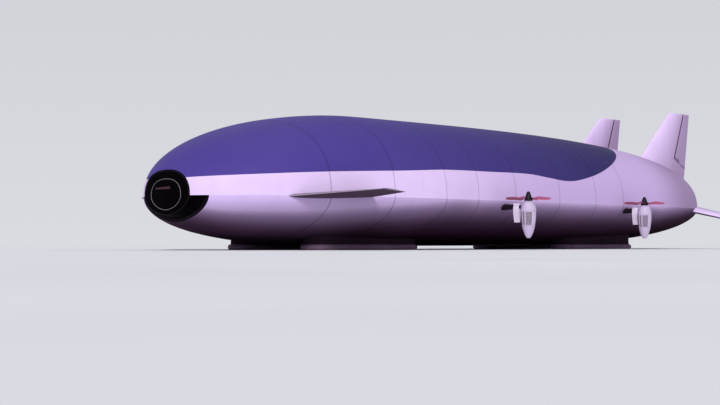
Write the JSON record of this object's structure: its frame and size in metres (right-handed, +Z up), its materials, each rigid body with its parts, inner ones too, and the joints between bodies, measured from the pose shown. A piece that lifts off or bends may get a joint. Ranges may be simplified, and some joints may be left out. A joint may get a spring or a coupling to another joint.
{
  "type": "rigid cargo airship, 1:10 scale model",
  "caption": "Flattened cargo airship with an open belly bay, landing cushions, tilting lift engines, canards, twin fins and tailplanes; 1:10 scale.",
  "frame": {"origin": "on the floor under the middle of the ship's bounding box", "axes": "+X to the nose, +Y to port, +Z up"},
  "size_m": [17.32, 7.5184, 3.581],
  "materials": {
    "hull_white": "satin composite skin, dark blue above the band",
    "hull_lower": "satin composite skin",
    "glazing": "dark tinted glazing",
    "bay_lining": "matte dark lining",
    "rim": "matte",
    "steel": "satin",
    "cushion": "matte coated fabric",
    "canard": "satin",
    "surface_white": "satin",
    "engine_white": "satin",
    "engine_dark": "satin",
    "propeller": "satin, red tips"
  },
  "bodies": {
    "ship": {"hull_upper": "hull_white", "hull_lower_bow": "hull_lower", "hull_lower_stern": "hull_lower", "hull_lower_port": "hull_lower", "hull_lower_starboard": "hull_lower", "nose_glazing": "glazing", "chin_glazing": "glazing", "bay_ceiling": "bay_lining", "bay_wall_port": "bay_lining", "bay_wall_starboard": "bay_lining", "bay_end_fore": "bay_lining", "bay_end_aft": "bay_lining", "bay_rim": "rim", "hoist_fore": "steel", "hoist_aft": "steel", "cushion_fore_port": "cushion", "cushion_fore_starboard": "cushion", "cushion_aft_port": "cushion", "cushion_aft_starboard": "cushion", "canard_port": "canard", "canard_starboard": "canard", "tailplane_port": "surface_white", "tailplane_starboard": "surface_white", "fin_port": "surface_white", "fin_starboard": "surface_white", "engine_mount_fore_port": "engine_dark", "engine_mount_fore_starboard": "engine_dark", "engine_mount_aft_port": "engine_dark", "engine_mount_aft_starboard": "engine_dark"},
    "flap_port": {"canard_flap_port": "canard"},
    "flap_starboard": {"canard_flap_starboard": "canard"},
    "elevator_port": {"elevator_port": "surface_white"},
    "elevator_starboard": {"elevator_starboard": "surface_white"},
    "rudder_port": {"rudder_port": "surface_white"},
    "rudder_starboard": {"rudder_starboard": "surface_white"},
    "engine_fore_port": {"stub_wing_fore_port": "engine_white", "nacelle_fore_port": "engine_white"},
    "engine_fore_starboard": {"stub_wing_fore_starboard": "engine_white", "nacelle_fore_starboard": "engine_white"},
    "engine_aft_port": {"stub_wing_aft_port": "engine_white", "nacelle_aft_port": "engine_white"},
    "engine_aft_starboard": {"stub_wing_aft_starboard": "engine_white", "nacelle_aft_starboard": "engine_white"},
    "propeller_fore_port": {"propeller_fore_port": "propeller"},
    "propeller_fore_starboard": {"propeller_fore_starboard": "propeller"},
    "propeller_aft_port": {"propeller_aft_port": "propeller"},
    "propeller_aft_starboard": {"propeller_aft_starboard": "propeller"}
  },
  "joints": [
    {"name": "flap_port_hinge", "type": "hinge", "parent": "ship", "child": "flap_port", "pos_m": [6.0962, 2.6648, 1.04442], "axis": [0.0447, 0.9975, 0.0547], "range_deg": [-25, 25]},
    {"name": "flap_starboard_hinge", "type": "hinge", "parent": "ship", "child": "flap_starboard", "pos_m": [6.0962, -2.6648, 1.04442], "axis": [-0.0447, 0.9975, -0.0547], "range_deg": [-25, 25]},
    {"name": "elevator_port_hinge", "type": "hinge", "parent": "ship", "child": "elevator_port", "pos_m": [-7.58864, 2.092, 0.9342], "axis": [-0.4864, 0.84, -0.2405], "range_deg": [-25, 25]},
    {"name": "elevator_starboard_hinge", "type": "hinge", "parent": "ship", "child": "elevator_starboard", "pos_m": [-7.58864, -2.092, 0.9342], "axis": [0.4864, 0.84, 0.2405], "range_deg": [-25, 25]},
    {"name": "rudder_port_hinge", "type": "hinge", "parent": "ship", "child": "rudder_port", "pos_m": [-7.12005, 1.1, 2.35982], "axis": [-0.3874, 0, 0.9219], "range_deg": [-25, 25]},
    {"name": "rudder_starboard_hinge", "type": "hinge", "parent": "ship", "child": "rudder_starboard", "pos_m": [-7.12005, -1.1, 2.35982], "axis": [-0.3874, 0, 0.9219], "range_deg": [-25, 25]},
    {"name": "tilt_fore_port", "type": "hinge", "parent": "ship", "child": "engine_fore_port", "pos_m": [1.79, 3.3, 0.896], "axis": [0, 1, 0], "range_deg": [-15, 90]},
    {"name": "tilt_fore_starboard", "type": "hinge", "parent": "ship", "child": "engine_fore_starboard", "pos_m": [1.79, -3.3, 0.896], "axis": [0, 1, 0], "range_deg": [-15, 90]},
    {"name": "tilt_aft_port", "type": "hinge", "parent": "ship", "child": "engine_aft_port", "pos_m": [-2.81, 3.085, 0.896], "axis": [0, 1, 0], "range_deg": [-15, 90]},
    {"name": "tilt_aft_starboard", "type": "hinge", "parent": "ship", "child": "engine_aft_starboard", "pos_m": [-2.81, -3.085, 0.896], "axis": [0, 1, 0], "range_deg": [-15, 90]},
    {"name": "spin_fore_port", "type": "hinge", "parent": "engine_fore_port", "child": "propeller_fore_port", "pos_m": [1.79, 3.3, 1.011], "axis": [0, 0, 1], "continuous": true},
    {"name": "spin_fore_starboard", "type": "hinge", "parent": "engine_fore_starboard", "child": "propeller_fore_starboard", "pos_m": [1.79, -3.3, 1.011], "axis": [0, 0, 1], "continuous": true},
    {"name": "spin_aft_port", "type": "hinge", "parent": "engine_aft_port", "child": "propeller_aft_port", "pos_m": [-2.81, 3.085, 1.011], "axis": [0, 0, 1], "continuous": true},
    {"name": "spin_aft_starboard", "type": "hinge", "parent": "engine_aft_starboard", "child": "propeller_aft_starboard", "pos_m": [-2.81, -3.085, 1.011], "axis": [0, 0, 1], "continuous": true}
  ]
}
